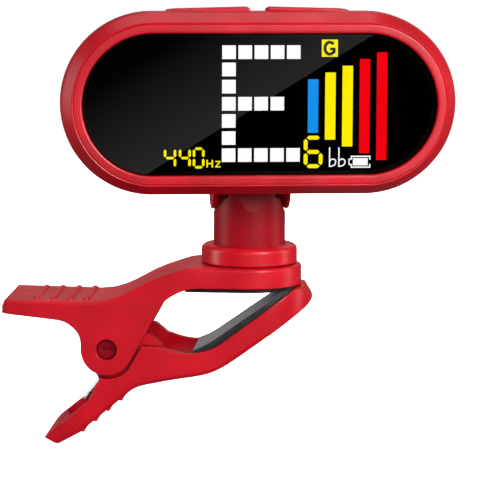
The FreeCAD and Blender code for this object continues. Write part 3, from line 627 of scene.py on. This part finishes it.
def shows(name, bm, mat):
    """Turns a read-out with the head and puts it on the display."""
    bmesh.ops.recalc_face_normals(bm, faces=bm.faces)
    turn_head(bm)
    finished(name, bm, mat, "head")


backlight = 6.6
white_light = glowing("white_backlit_segments", "#ffffff", backlight)
yellow_light = glowing("yellow_backlit_segments", "#ffee00", backlight)
blue_light = glowing("blue_backlit_segments", "#1490ea", backlight)
red_light = glowing("red_backlit_segments", "#f0000c", backlight)

letter = bmesh.new()
dot, dot_x, dot_z = 2.06, 2.447, 2.593
for row, columns in enumerate((5, 1, 1, 4, 1, 1, 5)):
    for column in range(columns):
        x = -5.69 + column * dot_x
        z = 8.79 - row * dot_z
        block(letter, x, z - dot, x + dot, z)
shows("note_letter_dots", letter, white_light)

bar_width, bar_pitch = 1.59, 2.617
for name, mat, numbers in (("blue_meter_bar", blue_light, (0,)),
                           ("yellow_meter_bars", yellow_light, (1, 2)),
                           ("red_meter_bars", red_light, (3, 4))):
    bars = bmesh.new()
    for number in numbers:
        x = 7.33 + number * bar_pitch
        top, foot = 3.65 + 1.018 * number, -4.46 - 1.05 * number
        block(bars, x, foot, x + bar_width, top)
    shows(name, bars, mat)

symbols = bmesh.new()
figure(symbols, "6", 6.74, 9.64, -9.84, -4.9, 0.6)
for left, right, digit in ((-14.47, -12.59, "4"), (-12.2, -10.38, "4"), (-10.1, -8.3, "0")):
    figure(symbols, digit, left, right, -9.8, -6.59, 0.39)
for x in (-8.02, -7.24):
    block(symbols, x, -9.65, x + 0.22, -8.49)
block(symbols, -7.9, -9.16, -7.1, -8.97)
block(symbols, -6.68, -8.84, -5.88, -8.66)
block(symbols, -6.68, -9.65, -5.88, -9.47)
stroke(symbols, (-6.0, -8.8), (-6.56, -9.5), 0.2)
shows("yellow_symbols", symbols, yellow_light)

badge_x, badge_z = 10.58, 8.34
badge = bmesh.new()
block(badge, badge_x - 1.2, badge_z - 1.29, badge_x + 1.24, badge_z + 1.3)
shows("reference_badge", badge, yellow_light)
letter = bmesh.new()
turns = [math.radians(turn) for turn in range(40, 331, 15)]
bend = [(badge_x + 0.74 * math.cos(turn), badge_z + 0.94 * math.sin(turn)) for turn in turns]
for start, end in zip(bend, bend[1:]):
    stroke(letter, start, end, 0.48)
stroke(letter, (badge_x + 0.68, badge_z - 0.7), (badge_x + 0.68, badge_z + 0.06), 0.42)
stroke(letter, (badge_x + 0.88, badge_z - 0.12), (badge_x + 0.05, badge_z - 0.12), 0.4)
bmesh.ops.translate(letter, verts=letter.verts, vec=(0, -0.03 * MM, 0))
shows("reference_badge_letter", letter, dark_print)

small = bmesh.new()
bowl = [(0.05, -8.75), (0.4, -8.45), (0.78, -8.5), (0.96, -8.85), (0.84, -9.28), (0.5, -9.52),
        (0.05, -9.58)]
for x in (10.7, 12.12):
    stroke(small, (x, -6.7), (x, -9.66), 0.19)
    for (x0, z0), (x1, z1) in zip(bowl, bowl[1:]):
        stroke(small, (x + x0, z0), (x + x1, z1), 0.19)

# battery sign: an open outline with a small end cap on its left, and a solid bar for the charge
left, right, top, foot, line = 13.93, 16.95, -7.98, -9.82, 0.2
middle = (top + foot) / 2
for x0, x1, stub in ((left, left + line, 0.5), (right - line, right, 0.6)):
    block(small, x0, top - stub, x1, top)
    block(small, x0, foot, x1, foot + stub)
for z in (top - line, foot):
    block(small, left, z, right, z + line)
for z in (middle + 0.33, middle - 0.5):
    block(small, left - 0.3, z, left + line, z + 0.17)
block(small, left - 0.34, middle - 0.42, left - 0.17, middle + 0.42)
block(small, left + 0.33, foot + 0.36, right - 0.42, top - 0.36)
shows("white_symbols", small, white_light)

# ---- what is inside the head -----------------------------------------------------------------
# Backlight, its holder, the rubber connector, the board with its parts, the cell and the
# pick-up disc.  Seen only with the shells off, or through the charging port.
repaint("lcd_backlight", plain_moulding("milky_backlight_acrylic", "#e4e6e6", "#f6f7f6", 0.35))
repaint("display_holder", plain_moulding("black_ABS_holder", "#141416", "#212225", 0.5))
repaint("lcd_connector", plain_moulding("grey_connector_rubber", "#4c4f52", "#6a6d70", 0.7))
repaint("circuit_board", plain_moulding("green_solder_mask", "#0b3d22", "#125a32", 0.3, 0.6, 0.3))
repaint("tuner_chip", plain_moulding("epoxy_chip_body", "#101113", "#1c1d1f", 0.6))
repaint("battery_cell", metal("foil_cell_pouch", "#a8abad", "#d2d4d4", 0.38, 1.2, (1, 1, 1)))
repaint("battery_leads", plain_moulding("red_wire_jacket", "#a01018", "#c81c24", 0.4))
repaint("piezo_disc", metal("brass_pick_up_disc", "#a57b35", "#cfa556", 0.32, 0.5))
repaint("charging_socket", metal("nickel_socket_shell", "#a2a4a6", "#b6b8ba", 0.3))
switch_black = plain_moulding("black_switch_body", "#121214", "#1f2022", 0.45)
for side in ("power", "mode"):
    repaint(side + "_switch", switch_black)
    repaint(side + "_switch_plunger", switch_black)

# ---- floor, lights and camera -----------------------------------------------------------------
# A white cove under and round the tuner, lit by soft boxes, with the camera a little to the
# right of the clip's long side and slightly above it.
floor_z = -24.06
cove = bmesh.new()
bmesh.ops.create_grid(cove, x_segments=1, y_segments=1, size=3.0)
made = bmesh.ops.extrude_edge_only(cove, edges=cove.edges[:])
bmesh.ops.translate(cove, verts=[v for v in made["geom"] if isinstance(v, bmesh.types.BMVert)],
                    vec=(0, 0, 4.0))
bmesh.ops.translate(cove, verts=cove.verts, vec=(0, 0, floor_z * MM))
mesh = bpy.data.meshes.new("floor")
cove.to_mesh(mesh)
cove.free()
floor = bpy.data.objects.new("floor", mesh)
bpy.context.scene.collection.objects.link(floor)
mat, place = material("white_cove")
specks = add(mat, "TexNoise", {"Scale": 1 / (40 * MM), "Detail": 3.0}, {"Vector": place})
paper = add(mat, "BsdfPrincipled",
            {"Roughness": 0.45, "IOR": 1.4, "Emission Color": linear("#ffffff"),
             "Emission Strength": 0.95},
            {"Base Color": ramp(mat, specks.outputs["Fac"], (0.3, "#f4f4f4"), (0.7, "#fafafa"))})
mesh.materials.append(shown(mat, paper))
floor.visible_diffuse = False
floor.visible_glossy = False


def soft_box(name, place, aim, width, height, power):
    """Rectangular soft box, in millimetres, that points at aim."""
    data = bpy.data.lights.new(name, "AREA")
    data.shape = "RECTANGLE"
    data.size, data.size_y = width * MM, height * MM
    data.energy = power
    lamp = bpy.data.objects.new(name, data)
    lamp.location = Vector(place) * MM
    lamp.rotation_mode = "QUATERNION"
    lamp.rotation_quaternion = (Vector(aim) - Vector(place)).to_track_quat("-Z", "Y")
    lamp.visible_camera = False
    bpy.context.scene.collection.objects.link(lamp)
    return lamp


soft_box("key_box", (130, -175, 90), (0, 0, 12), 80, 110, 0.48)
front_box = soft_box("front_box", (-10, -370, 150), (0, 0, 12), 160, 140, 0.68)
front_box.visible_glossy = False
low_box = soft_box("low_box", (20, -270, -6), (0, 0, 20), 220, 24, 0.08)
low_box.visible_glossy = False
soft_box("top_box", (-40, 60, 330), (0, 0, 10), 260, 160, 0.17)
soft_box("left_box", (-340, -40, 60), (0, 0, 10), 90, 240, 0.55)
soft_box("right_box", (340, 40, 60), (0, 0, 10), 90, 240, 0.35)
soft_box("back_box", (60, 340, 240), (0, 0, 10), 300, 200, 0.1)
rear = soft_box("rear_box", (-60, 380, 130), (0, 0, 10), 240, 200, 1.5)
rear.visible_glossy = False

# a glowing card that only reflections see: it lays a soft grey sheen with a slanting edge
# over the upper half of the lens, brightest along that edge
edge_start, edge_end = Vector((57.9, 0, -15.9)), Vector((117.7, 0, 18.7))
run = edge_end - edge_start
away = Vector((-run.z, 0, run.x)).normalized()


def reflected_card(name, corners, mat):
    """Flat card that shows in reflections only."""
    bm = bmesh.new()
    bm.faces.new([bm.verts.new(Vector(corner) * MM) for corner in corners])
    mesh = bpy.data.meshes.new(name)
    bm.to_mesh(mesh)
    bm.free()
    mesh.materials.append(mat)
    made = bpy.data.objects.new(name, mesh)
    made.visible_camera = False
    made.visible_shadow = False
    made.visible_diffuse = False
    bpy.context.scene.collection.objects.link(made)


mat, place = material("glowing_card")
distance = add(mat, "VectorMath", {"operation": "DOT_PRODUCT", 1: away}, {0: place})
start = edge_start.dot(away) * MM
fade = add(mat, "MapRange", {"From Min": start, "From Max": start + 26 * MM, "To Min": 0.5,
                             "To Max": 0.02}, {"Value": distance.outputs["Value"]})
glow = add(mat, "Emission", {}, {"Strength": fade.outputs[0]})
card_place = Vector((0, -330, 0))
corners = [edge_start - run * 0.6, edge_end + run * 0.3, edge_start + away * 70]
reflected_card("sheen_card", [corner + card_place for corner in corners], shown(mat, glow))
reflected_card("black_card", [(-40, -336, -90), (230, -336, -90), (230, -336, 70),
                              (-40, -336, 70)],
               plain_moulding("black_card", "#010101", "#030303", 0.9))

world = bpy.data.worlds.new("studio")
world.use_nodes = True
world.node_tree.nodes["Background"].inputs["Color"].default_value = (1, 1, 1, 1)
world.node_tree.nodes["Background"].inputs["Strength"].default_value = 0.11
scene = bpy.context.scene
scene.world = world
scene.view_settings.view_transform = "Standard"
scene.view_settings.look = "None"

azimuth, elevation, roll = math.radians(3.8), math.radians(7.7), math.radians(0.3)
reach = 471.0
target = Vector((0.11, 0, 7.33))
back = Vector((math.sin(azimuth) * math.cos(elevation), -math.cos(azimuth) * math.cos(elevation),
               math.sin(elevation)))
lens_data = bpy.data.cameras.new("camera")
lens_data.sensor_width = 36
lens_data.lens = 216.4
lens_data.clip_start, lens_data.clip_end = 0.01, 50
camera = bpy.data.objects.new("camera", lens_data)
camera.location = (target + back * reach) * MM
camera.rotation_mode = "QUATERNION"
facing = (-back).to_track_quat("-Z", "Y")
camera.rotation_quaternion = facing @ Matrix.Rotation(roll, 3, "Z").to_quaternion()
scene.collection.objects.link(camera)
scene.camera = camera

bpy.context.view_layer.update()
